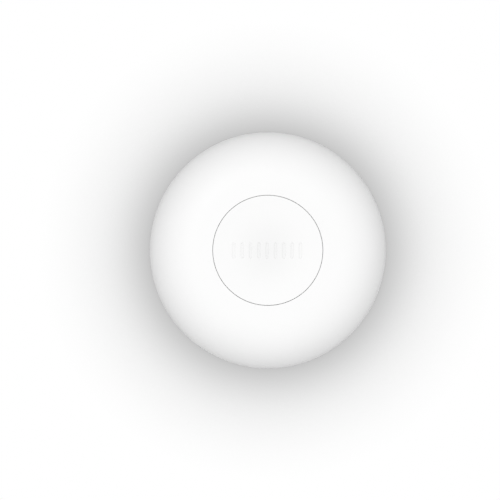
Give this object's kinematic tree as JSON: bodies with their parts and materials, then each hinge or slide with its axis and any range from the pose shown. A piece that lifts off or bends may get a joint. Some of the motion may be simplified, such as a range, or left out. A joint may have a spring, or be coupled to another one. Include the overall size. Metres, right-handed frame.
{
  "type": "panic button",
  "caption": "Round domed wall-mounted panic button: a large flush dished push button sprung inside a twist-off cover that locks onto a screwed wall plate with the circuit board and coin cell.",
  "frame": {"origin": "middle of the base plate's flat back, which lies on the wall", "axes": "+Z out of the wall along the button's axis, +X to the right and +Y up for someone who faces the wall"},
  "size_m": [0.078, 0.078, 0.024],
  "materials": {
    "base_plastic": "fine spark-eroded texture",
    "cover_plastic": "smooth satin white ABS",
    "button_plastic": "smooth satin white ABS",
    "carrier_plastic": "natural acetal",
    "screw_steel": "zinc plated",
    "spring_steel": "drawn stainless wire",
    "board_laminate": "green solder mask over glass-fibre laminate",
    "switch_plastic": "moulded black",
    "switch_metal": "stamped sheet",
    "tinned_metal": "tinned",
    "plunger_plastic": "moulded black",
    "cell_steel": "nickel-plated can",
    "holder_plastic": "moulded black",
    "contact_metal": "gold-plated spring sheet",
    "shield_metal": "tin-plated sheet",
    "antenna_copper": "bare copper wire",
    "chip_plastic": "moulded black",
    "crystal_metal": "drawn can",
    "capacitor_metal": "drawn can on black foot",
    "chip_ceramic": "ceramic with tinned ends"
  },
  "bodies": {
    "base": {"base_plate": "base_plastic", "circuit_board": "board_laminate", "board_screws": "screw_steel", "switch_body": "switch_plastic", "switch_frame": "switch_metal", "switch_terminals": "tinned_metal", "tamper_body": "switch_plastic", "tamper_frame": "switch_metal", "tamper_terminals": "tinned_metal", "battery": "cell_steel", "battery_holder": "holder_plastic", "battery_contact_positive": "contact_metal", "battery_contact_negative": "contact_metal", "radio_shield": "shield_metal", "antenna": "antenna_copper", "microcontroller": "chip_plastic", "crystal": "crystal_metal", "bulk_capacitor": "capacitor_metal", "chip_parts": "chip_ceramic"},
    "cover": {"front_cover": "cover_plastic", "button_carrier": "carrier_plastic", "carrier_screws": "screw_steel", "return_spring": "spring_steel"},
    "button": {"button_cap": "button_plastic"},
    "main_plunger": {"switch_plunger": "plunger_plastic"},
    "tamper_pin": {"tamper_plunger": "plunger_plastic"}
  },
  "joints": [
    {"name": "cover_twist", "type": "hinge", "parent": "base", "child": "cover", "pos_m": [0, 0, 0.0042], "axis": [0, 0, 1], "range_deg": [0, 14]},
    {"name": "button_press", "type": "slide", "parent": "cover", "child": "button", "axis": [0, 0, -1], "range_m": [0, 0.0012], "stiffness_N_per_m": 900, "springref_m": -0.003, "deforming": ["return_spring"]},
    {"name": "plunger_press", "type": "slide", "parent": "base", "child": "main_plunger", "axis": [0, 0, -1], "range_m": [0, 0.0012]},
    {"name": "tamper_release", "type": "slide", "parent": "base", "child": "tamper_pin", "axis": [0, 0, 1], "range_m": [0, 0.001]}
  ],
  "couplings": [
    {"joint": "plunger_press", "follows": "button_press", "ratio": 1},
    {"joint": "tamper_release", "follows": "cover_twist", "m_per_rad": 0.00409}
  ]
}
